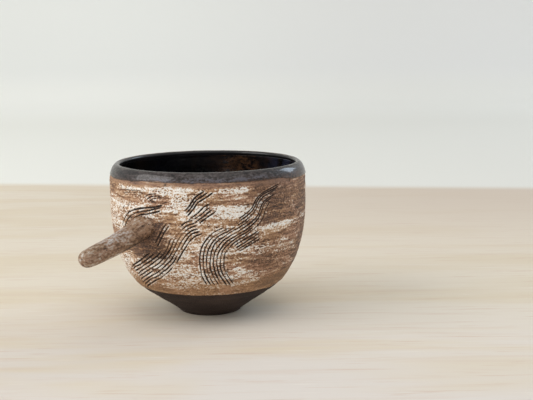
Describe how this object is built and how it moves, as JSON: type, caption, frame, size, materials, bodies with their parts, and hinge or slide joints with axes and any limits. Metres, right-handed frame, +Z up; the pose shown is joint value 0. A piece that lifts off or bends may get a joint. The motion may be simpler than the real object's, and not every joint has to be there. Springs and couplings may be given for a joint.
{
  "type": "stick-handled stoneware cup",
  "caption": "Round stoneware drinking cup on a small turned foot, with a solid stick handle joined to the wall, brushed slip outside, a dark rim glaze and a glazed inside.",
  "frame": {"origin": "centre of the foot's resting face, on the axis of the thrown bowl", "axes": "+X along the handle's horizontal direction, +Z up out of the mouth"},
  "size_m": [0.134, 0.0954, 0.0741],
  "materials": {
    "bare_clay": "matte, smooth turned",
    "handle_clay": "matte, speckled",
    "slip": "matte brushed slip over grogged clay, combed",
    "rim_glaze": "satin glaze",
    "liner_glaze": "gloss glaze"
  },
  "bodies": {
    "root": {"bowl": "bare_clay", "foot_ring": "bare_clay", "handle": "handle_clay", "handle_joint_coil": "handle_clay", "slip_coat": "slip", "rim_glaze": "rim_glaze", "liner_glaze": "liner_glaze"}
  },
  "joints": []
}
